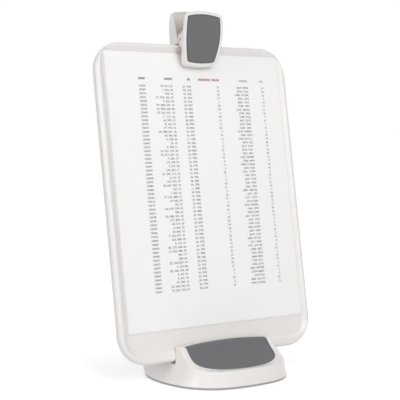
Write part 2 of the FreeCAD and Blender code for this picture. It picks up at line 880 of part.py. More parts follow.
def slab(body, lever, start, end):
    """A bowed slab between two depths behind a lever's face, longer and wider than the lever."""
    top, foot = LEVER_ENDS[lever]
    sketch = new_sketch(body, "YZ_Plane")
    if lever == "front":
        outline(sketch, front_face_up(start, top, foot) + front_face_down(end, top, foot))
    else:
        outline(sketch, back_face_up(start, top, foot) + back_face_down(end, top, foot))
    return pad(body, sketch, f"2 * {lever}_half_width", middle=True)


def lever_outline(sketch, lever, inset):
    """A lever seen from the front, drawn in by an inset."""
    side = f"{lever}_half_width - {lever}_side_radius"
    side_radius = f"{lever}_side_radius - {inset}"
    top_arch, foot_arch = f"{lever}_top_arch - {inset}", f"{lever}_foot_arch - {inset}"
    top_corner, foot_corner = f"{lever}_top_corner - {inset}", f"{lever}_foot_corner - {inset}"
    knee = f"{lever}_knee"
    four_sided(sketch, [
        ("0", f"{lever}_top - {lever}_top_arch", top_arch),
        (f"-({side})", knee, side_radius),
        ("0", f"-{lever}_foot + {lever}_foot_arch", foot_arch),
        (side, knee, side_radius),
    ], [top_corner, foot_corner, foot_corner, top_corner])


def trim_lever(body, lever, inset):
    """Cut away what lies outside a lever's outline."""
    sketch = new_sketch(body, "XZ_Plane")
    top, foot = LEVER_ENDS[lever]
    frame_around(sketch, f"{lever}_half_width + overrun", f"{foot} - overrun", f"{top} + overrun")
    lever_outline(sketch, lever, inset)
    return pocket(body, sketch)


def skirt_block(body, lever):
    """The block whose rim becomes a lever's side walls: from its face to its walls' bowed edge."""
    sketch = new_sketch(body, "YZ_Plane")
    top = f"{lever}_top - skirt"
    if lever == "front":
        _, foot = LEVER_ENDS[lever]
        edge = [(forward_bow(*FRONT_EDGE, top), top),
                (forward_bow(*FRONT_EDGE, foot), foot, "left", "front_edge_bow")]
        outline(sketch, front_face_up("0", top, foot) + edge)
    else:
        foot = "-back_foot"
        edge = [(forward_bow(*BACK_EDGE, top), top),
                (forward_bow(*BACK_EDGE, BOARD_TOP), BOARD_TOP, "left", "back_edge_bow"),
                (BOARD_BACK, foot)]
        outline(sketch, back_face_up("0", top, foot) + edge)
    pad(body, sketch, f"2 * {lever}_half_width", middle=True)
    sketch = new_sketch(body, "XZ_Plane")
    lever_outline(sketch, lever, "skirt")
    pocket(body, sketch)


def lever_plate(body, lever):
    """Side walls, a frame round the inlay, and the plate behind it that seats the inlay."""
    skirt_block(body, lever)
    slab(body, lever, "0", "inlay_thick")
    sketch = new_sketch(body, "XZ_Plane")
    lever_outline(sketch, lever, "inlay_border")
    pocket(body, sketch)
    slab(body, lever, "inlay_thick", "plate_skin")


def side_pair(body, points, half_width):
    """An ear and its twin, from a half width inwards."""
    sketch = new_sketch(body, "YZ_Plane", f"{half_width} - ear_thick")
    outline(sketch, points)
    ear = pad(body, sketch, "ear_thick")
    mirror(body, "YZ_Plane", [ear])


def jaw_block(body, face, seat):
    """The block on which a grip sits, from inside the plate to the seat."""
    sketch = new_sketch(body, "YZ_Plane")
    outline(sketch, [(face("-jaw_foot"), "-jaw_foot"), (seat, "-jaw_foot"), (seat, "-jaw_top"),
                     (face("-jaw_top"), "-jaw_top")])
    pad(body, sketch, "2 * jaw_half_width", middle=True)


def pin_hole(body, radius):
    sketch = new_sketch(body, "YZ_Plane")
    circle(sketch, "0", "0", radius)
    pocket(body, sketch)


def round_boss(radius, start, end):
    """The points of an arc about the pin, turning right, between two angles below and above."""
    return [(f"{radius} * cos({start})", f"{radius} * sin({start})"),
            (f"{radius} * cos({end})", f"{radius} * sin({end})", "right", radius)]


def make_clip_front():
    body = new_body("clip_front_lever")
    lean(body, *PIVOT)
    lever_plate(body, "front")
    edge = f"{RIM_FRONT} - ear_clearance"
    side_pair(body, front_face_up(IN_PLATE, "front_ear_top", "-front_ear_foot")
              + round_boss("front_boss", "55", "-40")
              + [(edge, "-front_boss - pivot_rise / 2")], "front_ear_half_width")

    def face(z):
        return forward_bow(*FRONT_FACE, z, IN_PLATE)

    jaw_block(body, face, FRONT_SEAT)
    pin_hole(body, "pin_radius + pin_gap")
    trim_lever(body, "front", "0")
    return body


def make_clip_back():
    body = new_body("clip_back_lever")
    lean(body, *PIVOT)
    lever_plate(body, "back")
    over = f"{BOARD_TOP} + ear_clearance"
    # Room for the board's upper edge between the side walls' upper part and the jaw
    sketch = new_sketch(body, "YZ_Plane")
    behind, (_, foot) = f"{BOARD_BACK} + ear_clearance", LEVER_ENDS["back"]
    outline(sketch, [(behind, f"{foot} - overrun"), (behind, over), ("0", over), ("0", f"{foot} - overrun")])
    pocket(body, sketch)
    side_pair(body, [
        (backward_bow(*BACK_FACE, "back_ear_top", IN_PLATE), "back_ear_top"),
        ("0", "back_boss"),
        ("-back_boss", "0", "left", "back_boss"),
        ("0", "-back_boss", "left", "back_boss"),
        (f"back_reach - {IN_PLATE}", over),
    ], "back_ear_half_width")

    def face(z):
        return backward_bow(*BACK_FOOT, z, IN_PLATE)

    jaw_block(body, face, BACK_SEAT)
    pin_hole(body, "pin_radius")
    trim_lever(body, "back", "0")
    return body


def make_inlay(label, lever):
    body = new_body(label)
    lean(body, *PIVOT)
    slab(body, lever, "0", "inlay_thick")
    trim_lever(body, lever, "(inlay_border + inlay_gap)")
    return body


def make_grip(label, face, back):
    """A rubber grip on a jaw: a plate with three grooves across the face that bears."""
    body = new_body(label)
    lean(body, *PIVOT)
    low, high = "-jaw_foot", "-jaw_top"
    inward = "-" if value(face) > value(back) else "+"
    groove = "(jaw_foot - jaw_top) / 7"
    points = [(back, low), (face, low)]
    for number in (1, 3, 5):
        start, end = f"{low} + {number} * {groove}", f"{low} + {number + 1} * {groove}"
        sunk = f"{face} {inward} grip_groove"
        points += [(face, start), (sunk, start), (sunk, end), (face, end)]
    sketch = new_sketch(body, "YZ_Plane")
    outline(sketch, points + [(face, high), (back, high)])
    pad(body, sketch, "2 * jaw_half_width", middle=True)
    return body


RING_PLACE = "back_ear_half_width - ear_thick"


def make_pin():
    body = new_body("clip_pin")
    lean(body, *PIVOT)
    sketch = new_sketch(body, "YZ_Plane")
    circle(sketch, "0", "0", "pin_radius")
    pad(body, sketch, "2 * pin_half_length", middle=True)
    sketch = new_sketch(body, "YZ_Plane", RING_PLACE)
    circle(sketch, "0", "0", "pin_radius + overrun")
    circle(sketch, "0", "0", "pin_radius - ring_groove")
    groove = pocket(body, sketch, "ring_thick")
    mirror(body, "YZ_Plane", [groove])
    return body


def make_pin_rings():
    """The two open rings in the pin's grooves."""
    body = new_body("pin_rings")
    lean(body, *PIVOT)
    gap = "(pin_radius - ring_groove) / 2"
    for side in ("", "-"):
        sketch = new_sketch(body, "YZ_Plane", f"{side}({RING_PLACE} - ring_thick / 2)")
        circle(sketch, "0", "0", "ring_radius")
        circle(sketch, "0", "0", "pin_radius - ring_groove")
        pad(body, sketch, "ring_thick", middle=True)
    sketch = new_sketch(body, "YZ_Plane")
    outline(sketch, [(gap, "0"), (gap, "ring_radius + overrun"), (f"-{gap}", "ring_radius + overrun"),
                     (f"-{gap}", "0")])
    pocket(body, sketch)
    return body


def tangent_arc(start, corner, end):
    """The arc that leaves start towards a corner and comes to end from it, both equally far away."""
    middle = (start + end) * 0.5
    rise = corner - middle
    reach = (corner - start).Length
    half_turn = math.atan2(rise.Length, (end - start).Length / 2)
    radius = reach / math.tan(half_turn)
    return Part.Arc(start, middle + rise.normalize() * (radius * (1 - math.cos(half_turn))), end).toShape()


def biarc(start, start_way, end, end_way):
    """Two arcs that leave start one way and come to end another, smooth where they meet."""
    chord = end - start
    ways = start_way + end_way
    a, b, c = 2 * (start_way.dot(end_way) - 1), -2 * chord.dot(ways), chord.dot(chord)
    step = (-b - math.sqrt(b * b - 4 * a * c)) / (2 * a)
    first, second = start + start_way * step, end - end_way * step
    joint = (first + second) * 0.5
    return [tangent_arc(start, first, joint), tangent_arc(joint, second, end)]


def make_spring():
    """A torsion spring: a coil round the pin and two straight legs that press the levers apart."""
    radius, pitch, turns = value("coil_radius"), value("coil_pitch"), value("coil_turns")
    wire, height = value("wire_radius"), value("leg_height")
    clear = wire + value("leg_gap")
    front_face = value(forward_bow(*FRONT_FACE, "leg_height", "plate_skin"))
    back_face = value(backward_bow(*BACK_FACE, "leg_height", "plate_skin"))
    front_end = (front_face + clear * 1.2, height)
    back_end = (back_face - clear * 1.2, height)

    def touch(end, side):
        """The angle at which a leg from an end touches the coil."""
        far = math.hypot(*end)
        return math.atan2(end[1], end[0]) + side * math.acos(radius / far)

    begin, finish = touch(back_end, 1), touch(front_end, -1) + 2 * math.pi * turns
    sweep = finish - begin
    rise = pitch / (2 * math.pi)
    middle = (begin + finish) / 2

    def spot(angle):
        return FreeCAD.Vector(rise * (angle - middle), radius * math.cos(angle), radius * math.sin(angle))

    def way(angle):
        return FreeCAD.Vector(rise, -radius * math.sin(angle), radius * math.cos(angle)).normalize()

    steps = math.ceil(sweep / (math.pi / 2))
    angles = [begin + sweep * step / steps for step in range(steps + 1)]
    back_leg, front_leg = (math.sqrt(math.hypot(*end) ** 2 - radius ** 2) for end in (back_end, front_end))
    start, end = spot(begin) - way(begin) * back_leg, spot(finish) + way(finish) * front_leg
    edges = [Part.LineSegment(start, spot(begin)).toShape()]
    for before, after in zip(angles, angles[1:]):
        edges += biarc(spot(before), way(before), spot(after), way(after))
    edges.append(Part.LineSegment(spot(finish), end).toShape())
    path = Part.Wire(edges)
    section = Part.Wire([Part.makeCircle(wire, start, way(begin))])
    tube = path.makePipeShell([section], True, False)

    # The least gap between neighbouring turns, measured on points of the line
    line = [spot(begin + sweep * step / 400) for step in range(401)]
    per_turn = int(400 * 2 * math.pi / sweep)
    apart = ((line[a] - line[b]).Length for a in range(401) for b in range(a + per_turn // 2, 401))
    least = min(apart) - 2 * wire
    print(f"clip_spring: least gap to itself {least:.2f} mm, volume {tube.Volume:.1f} mm3, "
          f"section times length {math.pi * wire ** 2 * path.Length:.1f} mm3")

    spring = doc.addObject("Part::Feature", "clip_spring")
    spring.Shape = tube
    lean_y, lean_z = (value(formula) for formula in leaning(*PIVOT))
    spring.Placement = FreeCAD.Placement(
        FreeCAD.Vector(0, lean_y, lean_z), FreeCAD.Rotation(FreeCAD.Vector(1, 0, 0), -value("tilt")))
    return spring


base_screws = make_screws(
    "base_screws", four_places("base_screw_x", "base_screw_y"), "XY_Plane", False,
    "screw_head_radius", "screw_head_thick", "base_screw_radius", "base_screw_length")
place(base_screws, "0", "foot_proud")
ballast_screws = make_screws(
    "ballast_screws", four_places("ballast_screw_x", "ballast_screw_y"), "XY_Plane", False,
    "screw_head_radius", "screw_head_thick", "ballast_screw_radius", "ballast_screw_length")
place(ballast_screws, "ballast_shift", "foot_proud")
board_screws = make_screws(
    "board_screws", board_screw_places(), "XZ_Plane", False,
    "board_screw_head_radius", "board_screw_head_thick", "board_screw_radius", "board_screw_length")
lean(board_screws, "board_thick - back_panel_sink", "0")

pieces = [
    make_base_shell(), make_tray_pad(), make_bottom_plate(), make_foot_pads(), make_ballast(),
    base_screws, ballast_screws,
    make_board_front(), make_board_back(), board_screws, make_pages(),
    make_clip_front(), make_inlay("clip_front_inlay", "front"),
    make_grip("clip_front_grip", f"{PAGE_FRONT} - grip_gap", FRONT_SEAT),
    make_clip_back(), make_inlay("clip_back_inlay", "back"),
    make_grip("clip_back_grip", f"{BOARD_BACK} + grip_gap", BACK_SEAT),
    make_pin(), make_pin_rings(), make_spring(),
]
doc.recompute()

for item in doc.Objects:
    if "Invalid" in item.State or "Error" in item.State:
        raise RuntimeError(f"{item.Name} failed: {item.State}")
for piece in pieces:
    if piece.Shape.isNull() or not piece.Shape.isValid():
        raise RuntimeError(f"{piece.Label} has no valid shape")

os.makedirs("parts", exist_ok=True)
for piece in pieces:
    piece.Shape.exportStep(f"parts/{piece.Label}.step")
    box = piece.Shape.BoundBox
    print(f"{piece.Label}: {len(piece.Shape.Solids)} solids, {piece.Shape.Volume / 1000:.2f} cm3, "
          f"{box.XLength:.1f} x {box.YLength:.1f} x {box.ZLength:.1f} mm")
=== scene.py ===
# %% [markdown]
# # A desktop copy holder
#
# A copy holder keeps a page upright beside a screen. This one has a heavy foot with a dished tray, a
# framed board that leans back in a slot of the foot, and a sprung clip on the board's upper edge.
# Its solids come ready made from the CAD frame. This lesson gives them their finishes, adds the printed
# pages that they hold, and sets up a plain studio in which to look at them.

# %% Load the frame
import json
import math
import random

import bpy
from mathutils import Euler, Matrix, Vector


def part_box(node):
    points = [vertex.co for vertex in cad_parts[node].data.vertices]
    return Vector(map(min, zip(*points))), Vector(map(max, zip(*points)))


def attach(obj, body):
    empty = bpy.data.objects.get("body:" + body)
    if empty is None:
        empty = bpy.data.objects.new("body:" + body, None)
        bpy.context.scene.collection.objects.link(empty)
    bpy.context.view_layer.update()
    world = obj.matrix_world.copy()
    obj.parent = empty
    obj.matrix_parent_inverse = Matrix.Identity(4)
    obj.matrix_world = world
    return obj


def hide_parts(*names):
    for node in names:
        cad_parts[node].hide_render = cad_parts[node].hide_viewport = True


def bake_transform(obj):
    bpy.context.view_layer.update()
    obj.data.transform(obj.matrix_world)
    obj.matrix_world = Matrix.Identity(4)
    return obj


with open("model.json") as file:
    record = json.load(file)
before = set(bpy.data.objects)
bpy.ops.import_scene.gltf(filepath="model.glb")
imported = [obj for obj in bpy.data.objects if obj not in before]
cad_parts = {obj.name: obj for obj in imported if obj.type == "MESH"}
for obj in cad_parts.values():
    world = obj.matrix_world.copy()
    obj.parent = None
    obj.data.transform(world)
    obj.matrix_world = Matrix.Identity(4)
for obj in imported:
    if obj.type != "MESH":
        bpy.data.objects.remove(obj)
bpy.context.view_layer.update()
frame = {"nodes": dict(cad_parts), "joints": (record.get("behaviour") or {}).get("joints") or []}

nodes = frame["nodes"]

# %% [markdown]
# ## Where the board is
#
# Everything on the board is easiest to place in the board's own directions: across, up along its face,
# and out of its face. The board's slide points up along the board, so the frame's joint gives
# the lean and no angle has to be copied from the CAD source.

# %% The board's directions
MM = 0.001
lift = next(joint for joint in frame["joints"] if joint["name"] == "board_lift")
across = Vector((1, 0, 0))
upward = Vector(lift["axis"]).normalized()
outward = across.cross(upward)
lean = math.atan2(upward.y, upward.z)
print(f"The board leans back {math.degrees(lean):.1f} degrees")


def span_along(node, direction):
    """The lowest and the highest that a CAD node reaches along a direction, in metres."""
    places = [vertex.co.dot(direction) for vertex in nodes[node].data.vertices]
    return min(places), max(places)


def on_board(x, up, out):
    """A point from its distances across, up along and out of the board, measured from the origin."""
    return across * x + upward * up + outward * out


# %% [markdown]
# ## Helpers for materials
#
# A procedural material is a small network of nodes. A few helpers keep the recipes below short: they add a
# node with its settings, start a material whose pattern is laid out in Object coordinates, and make the
# noises, mixes and bumps that most finishes need. Object coordinates are used because every piece sits at
# the origin, so a pattern keeps its real size in metres and doesn't move when the piece does.

# %% Material helpers


def add_node(tree, kind, inputs=None, **settings):
    """Add a node, set its properties, and fill or link its inputs by name or number."""
    node = tree.nodes.new(kind)
    for name, setting in settings.items():
        setattr(node, name, setting)
    for name, source in (inputs or {}).items():
        if isinstance(source, bpy.types.NodeSocket):
            tree.links.new(source, node.inputs[name])
        else:
            node.inputs[name].default_value = source
    return node


def new_material(name):
    """An empty node material: its tree, its shader, and its Object coordinates."""
    material = bpy.data.materials.new(name)
    material.use_nodes = True
    tree = material.node_tree
    shader = next(node for node in tree.nodes if node.type == "BSDF_PRINCIPLED")
    places = add_node(tree, "ShaderNodeTexCoord").outputs["Object"]
    return material, tree, shader, places


def noise(tree, places, feature_size, detail=2.0, roughness=0.5, stretch=None):
    """Noise whose features are about so many metres across."""
    if stretch:
        places = add_node(tree, "ShaderNodeMapping", {"Vector": places, "Scale": stretch}).outputs[0]
    return add_node(tree, "ShaderNodeTexNoise", {
        "Vector": places, "Scale": 1 / feature_size, "Detail": detail, "Roughness": roughness,
    }).outputs["Fac"]


def between(tree, factor, low, high, start=0.3, end=0.7):
    """A number that runs from low to high as a factor runs from start to end."""
    return add_node(tree, "ShaderNodeMapRange", {
        "Value": factor, "From Min": start, "From Max": end, "To Min": low, "To Max": high,
    }).outputs["Result"]


def tinted(tree, factor, first, second):
    """A colour mixed by a factor from two, each a colour or an output of a node."""
    first, second = (colour if isinstance(colour, bpy.types.NodeSocket) else (*colour, 1)
                     for colour in (first, second))
    return add_node(tree, "ShaderNodeMix", {0: factor, 6: first, 7: second}, data_type="RGBA").outputs[2]


def raised(tree, shader, height, depth, strength=1.0, normal=None):
    """Raise and sink a surface by a pattern, on bent normals where some are given."""
    inputs = {"Strength": strength, "Distance": depth, "Height": height}
    if normal is not None:
        inputs["Normal"] = normal
    bump = add_node(tree, "ShaderNodeBump", inputs).outputs[0]
    tree.links.new(bump, shader.inputs["Normal"])


def shade(colour, share):
    """A colour made darker or lighter."""
    return tuple(channel * share for channel in colour)


def linear(red, green, blue):
    """A colour given in screen values from 0 to 255, as the linear light that Blender works in."""
    screen = [channel / 255 for channel in (red, green, blue)]
    return tuple(s / 12.92 if s <= 0.04045 else ((s + 0.055) / 1.055) ** 2.4 for s in screen)


# %% [markdown]
# ## Moulded plastic
#
# Nearly everything here is injection moulded. Such a surface is never one flat colour: it has a fine
# grain from the spark-eroded mould, broad and very faint clouds in its colour and gloss, and edges that are
# always a little round, which catch a thin line of light. The grain is a small bump. The round edge
# comes from a Bevel node, which only bends the normals, so the CAD shape stays as it is. Comparing
# those bent normals with the true ones also finds the edges, and the colour there is painted a little
# lighter, a painted highlight. The dark inserts get painted shade instead: a darker band along their
# edges, where they dip into their seat.

# %% Moulded plastic
EDGE_ROUND = 0.35 * MM
EDGE_COSINE = 0.7
# How wide and how sharp the band of painted shade along the dark inserts' edges is
PAINTED_SHADE_WIDTH = 2.2 * MM
PAINTED_SHADE_COSINE = 0.93
BEVEL_SAMPLES = 6
CLOUD_SIZE = 30 * MM


def bent_normals(tree, radius=EDGE_ROUND):
    """Normals that are bent round every edge."""
    return add_node(tree, "ShaderNodeBevel", {"Radius": radius}, samples=BEVEL_SAMPLES).outputs[0]


def edge_share(tree, bent, full):
    """How near an edge a spot is: 0 where the normals aren't bent, 1 where the bend's cosine is full."""
    straight = add_node(tree, "ShaderNodeNewGeometry").outputs["Normal"]
    same = add_node(tree, "ShaderNodeVectorMath", {0: bent, 1: straight}, operation="DOT_PRODUCT")
    return between(tree, same.outputs["Value"], 1.0, 0.0, full, 1.0)


def moulded_plastic(name, colour, roughness, grain_size, grain_depth, clouds=0.02, painted_edge_light=1.04, coat=0.0,
                    painted_shade_width=None):
    """Plastic from a textured mould, with painted light along its edges: lighter is a painted highlight,
    darker painted shade, in a band of the given width if there is one.
    """
    material, tree, shader, places = new_material(name)
    bent = bent_normals(tree)
    if painted_shade_width:
        edge = edge_share(tree, bent_normals(tree, painted_shade_width), PAINTED_SHADE_COSINE)
    else:
        edge = edge_share(tree, bent, EDGE_COSINE)
    cloud = noise(tree, places, CLOUD_SIZE, detail=3)
    body = tinted(tree, between(tree, cloud, 0, 1), shade(colour, 1 - clouds), colour)
    # Painted light: the edge colour is lighter as a painted highlight, darker as painted shade
    painted_edge_colour = tuple(min(channel * painted_edge_light, 1) for channel in colour)
    tree.links.new(tinted(tree, edge, body, painted_edge_colour), shader.inputs["Base Color"])
    tree.links.new(between(tree, cloud, roughness * 0.9, roughness * 1.1), shader.inputs["Roughness"])
    grain = noise(tree, places, grain_size, detail=2, roughness=0.6)
    raised(tree, shader, grain, grain_depth, normal=bent)
    shader.inputs["Coat Weight"].default_value = coat
    shader.inputs["Coat Roughness"].default_value = roughness / 2
    return material


WHITE = linear(234, 231, 229)
SLATE = linear(101, 102, 104)
PLATE_GREY = linear(170, 167, 164)
# The plastics' edges are painted a little lighter, a painted highlight
white_plastic = moulded_plastic("white_plastic", WHITE, 0.34, 0.5 * MM, 0.004 * MM, clouds=0.012, coat=0.35)
board_plastic = moulded_plastic("board_plastic", WHITE, 0.38, 0.4 * MM, 0.004 * MM, clouds=0.01, coat=0.25)
# The inserts' edges are painted darker: painted shade where they dip into their seat
slate_plastic = moulded_plastic("slate_plastic", SLATE, 0.5, 0.55 * MM, 0.03 * MM, clouds=0.05, painted_edge_light=0.4,
                                painted_shade_width=PAINTED_SHADE_WIDTH)
plate_plastic = moulded_plastic("plate_plastic", PLATE_GREY, 0.55, 0.6 * MM, 0.03 * MM, clouds=0.05)
print("Plastics: white, board, slate and plate")

# %% [markdown]
# ## Rubber
#
# The four feet and the clip's two grips are soft rubber: dark, matt, and dusted with the fine bloom that
# makes old rubber look slightly grey. The bloom is a high noise that lifts both the colour and the
# roughness.

# %% Rubber


def rubber(name, colour, bloom):
    """Soft rubber with a faint bloom on it."""
    material, tree, shader, places = new_material(name)
    dust = between(tree, noise(tree, places, 3 * MM, detail=6, roughness=0.7), 0, 1, 0.45, 0.7)
    tree.links.new(tinted(tree, dust, colour, bloom), shader.inputs["Base Color"])
    tree.links.new(between(tree, dust, 0.72, 0.92, 0, 1), shader.inputs["Roughness"])
    skin = noise(tree, places, 0.3 * MM, detail=3)
    raised(tree, shader, skin, 0.03 * MM, strength=0.6, normal=bent_normals(tree))
    return material


foot_rubber = rubber("foot_rubber", linear(38, 38, 40), linear(66, 65, 64))
grip_rubber = rubber("grip_rubber", linear(62, 62, 64), linear(88, 88, 88))
print("Rubbers: feet and grips")

# %% [markdown]
# ## Steel
#
# Pin, rings, spring, screws and weight are steel, each finished in its own way. Drawn wire and a turned
# pin have fine lines along or round them, which are noise stretched up to fiftyfold. Plating and stains are
# small changes of tint.

# %% Steel
STEEL_ROUND = 0.15 * MM


def steel(name, colour, roughness, stretch, depth=0.01 * MM):
    """Steel with fine lines along the axis whose stretch is the smallest."""
    material, tree, shader, places = new_material(name)
    lines = noise(tree, places, 0.4 * MM, detail=4, stretch=stretch)
    stains = noise(tree, places, 8 * MM, detail=4)
    tree.links.new(tinted(tree, between(tree, stains, 0, 1), shade(colour, 0.86), colour),
                   shader.inputs["Base Color"])
    tree.links.new(between(tree, lines, roughness * 0.8, roughness * 1.25), shader.inputs["Roughness"])
    raised(tree, shader, lines, depth, strength=0.5, normal=bent_normals(tree, STEEL_ROUND))
    shader.inputs["Metallic"].default_value = 1.0
    return material


pin_steel = steel("pin_steel", linear(196, 196, 198), 0.28, (1, 0.02, 0.02))
spring_steel = steel("spring_steel", linear(150, 152, 158), 0.3, (0.3, 1, 1))
screw_steel = steel("screw_steel", linear(200, 198, 190), 0.3, (1, 1, 0.1))
weight_steel = steel("weight_steel", linear(140, 138, 134), 0.5, (1, 0.03, 1), depth=0.03 * MM)
print("Steels: pin, spring, screws and weight")

# %% [markdown]
# ## Giving the CAD nodes their finishes
#
# A CAD node whose shape is right only needs its material. The nodes are listed with their finish, and
# the last line prints any that was forgotten.

# %% Finishes of the CAD nodes
FINISHES = {
    "base_shell": white_plastic,
    "tray_pad": slate_plastic,
    "bottom_plate": plate_plastic,
    "foot_pads": foot_rubber,
    "ballast_plate": weight_steel,
    "base_screws": screw_steel,
    "ballast_screws": screw_steel,
    "board_front_panel": board_plastic,
    "board_back_panel": board_plastic,
    "board_screws": screw_steel,
    "clip_front_lever": white_plastic,
    "clip_front_inlay": slate_plastic,
    "clip_front_grip": grip_rubber,
    "clip_back_lever": white_plastic,
    "clip_back_inlay": slate_plastic,
    "clip_back_grip": grip_rubber,
    "clip_pin": pin_steel,
    "pin_rings": pin_steel,
    "clip_spring": spring_steel,
}


def dress(node, material):
    """Give every face of a CAD node one material."""
    mesh = nodes[node].data
    mesh.materials.clear()
    mesh.materials.append(material)


for node, material in FINISHES.items():
    dress(node, material)
print(f"{len(FINISHES)} nodes finished, left over: {sorted(set(nodes) - set(FINISHES))}")

# %% [markdown]
# ## The clip's spring
#
# A torsion spring round the pin presses the two levers apart. The CAD's spring is one stiff solid, but a
# real one gives: when the clip opens, one leg goes with the front lever while the coil stays on the pin.
# Here the wire is drawn again along the same line, as a curve with a round bevel, and the CAD's spring is
# hidden.

# %% Spring
COIL_RADIUS = 3.1 * MM
COIL_PITCH = 1.75 * MM
COIL_TURNS = 5
WIRE_RADIUS = 0.55 * MM
# Where the legs end: how far behind the pin, and how far up from it
FRONT_LEG = (-16.37 * MM, 14 * MM)
BACK_LEG = (11.54 * MM, 14 * MM)
COIL_STEPS = 220
LEG_STEPS = 24
WIRE_ROUNDING = 6


def from_pin(x, back, up):
    """A point from its distances across, behind and above the pin's middle, along the board."""
    return pivot + on_board(x, up, -back)


def touch(end, side):
    """The angle at which a leg from an end touches the coil."""
    return math.atan2(end[1], end[0]) + side * math.acos(COIL_RADIUS / math.hypot(*end))


def spring_line():
    """Points along the wire: from the back leg's end, round the coil and out to the front leg's end."""
    begin = touch(BACK_LEG, 1)
    finish = touch(FRONT_LEG, -1) + 2 * math.pi * COIL_TURNS
    rise = COIL_PITCH / (2 * math.pi)
    middle = (begin + finish) / 2

    def spot(angle):
        """A point of the coil."""
        along = rise * (angle - middle)
        return from_pin(along, COIL_RADIUS * math.cos(angle), COIL_RADIUS * math.sin(angle))

    def way(angle):
        """The wire's direction at a point of the coil."""
        return on_board(rise, COIL_RADIUS * math.cos(angle), COIL_RADIUS * math.sin(angle)).normalized()

    back, front = (math.sqrt(math.hypot(*end) ** 2 - COIL_RADIUS ** 2) for end in (BACK_LEG, FRONT_LEG))
    back_leg = [spot(begin) - way(begin) * back * (1 - step / LEG_STEPS) for step in range(LEG_STEPS)]
    coil = [spot(begin + (finish - begin) * step / COIL_STEPS) for step in range(COIL_STEPS + 1)]
    front_leg = [spot(finish) + way(finish) * front * (step + 1) / LEG_STEPS for step in range(LEG_STEPS)]
    return back_leg + coil + front_leg


def wire_mesh(name, line, radius, material):
    """A round wire along a line of points, as a plain mesh with closed ends."""
    curve = bpy.data.curves.new(name, "CURVE")
    curve.dimensions = "3D"
    curve.bevel_depth = radius
    curve.bevel_resolution = WIRE_ROUNDING
    curve.use_fill_caps = True
    spline = curve.splines.new("POLY")
    spline.points.add(len(line) - 1)
    for point, place in zip(spline.points, line):
        point.co = (*place, 1)
    drawn = bpy.data.objects.new(name + "_line", curve)
    bpy.context.scene.collection.objects.link(drawn)
    mesh = bpy.data.meshes.new_from_object(drawn.evaluated_get(bpy.context.evaluated_depsgraph_get()))
    bpy.data.objects.remove(drawn)
    bpy.data.curves.remove(curve)
    mesh.materials.clear()
    mesh.materials.append(material)
    mesh.shade_smooth()
    wire = bpy.data.objects.new(name, mesh)
    bpy.context.scene.collection.objects.link(wire)
    return wire


pin_low, pin_high = (Vector(corner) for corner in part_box("clip_pin"))
pivot = (pin_low + pin_high) / 2
spring = wire_mesh("sprung_wire", spring_line(), WIRE_RADIUS, spring_steel)
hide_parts("clip_spring")
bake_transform(spring)
print(f"sprung_wire: {len(spring.data.vertices)} vertices")

# %% [markdown]
# ## Paper and ink
#
# Office paper is a bright white that is a little warm, with fibres too fine to see one by one but which
# make it softly matt. Toner lies on it as a thin, slightly glossy dark film, so the print has a material
# of its own.

# %% Paper and ink


def paper_material():
    """Office paper: fibres that lie along the sheet, in its colour, its gloss and its surface."""
    material, tree, shader, places = new_material("paper")
    fibres = noise(tree, places, 0.25 * MM, detail=5, roughness=0.7, stretch=(1, 1, 0.35))
    tree.links.new(tinted(tree, between(tree, fibres, 0, 1), linear(243, 243, 241), linear(250, 249, 247)),
                   shader.inputs["Base Color"])
    tree.links.new(between(tree, fibres, 0.78, 0.9), shader.inputs["Roughness"])
    raised(tree, shader, fibres, 0.01 * MM, strength=0.3)
    shader.inputs["Specular IOR Level"].default_value = 0.3
    return material


def ink_material(name, colour):
    """Toner: a dark film with tiny gaps in it where the paper's fibres show."""
    material, tree, shader, places = new_material(name)
    speckle = between(tree, noise(tree, places, 0.12 * MM, detail=3), 0, 1, 0.35, 0.6)
    tree.links.new(tinted(tree, speckle, shade(colour, 2.0), colour), shader.inputs["Base Color"])
    tree.links.new(between(tree, speckle, 0.6, 0.42, 0, 1), shader.inputs["Roughness"])
    return material


paper = paper_material()
black_ink = ink_material("black_ink", linear(20, 18, 20))
red_ink = ink_material("red_ink", linear(126, 8, 40))
body_ink = ink_material("body_ink", linear(42, 40, 42))
grey_ink = ink_material("grey_ink", linear(120, 118, 116))
print("Paper and four inks")

# %% [markdown]
# ## A Geometry Nodes workbench
#
# What repeats is made by Geometry Nodes: a tree takes one thing and copies it on to many points. The
# helpers below build a tree with named inputs, set those inputs on a modifier, and turn the result
# into a plain mesh. Inputs are set by their identifier before the object is first evaluated. Every tree
# ends in Realize Instances and Set Material, because copies that aren't realized are lost on export.

# %% Geometry Nodes helpers


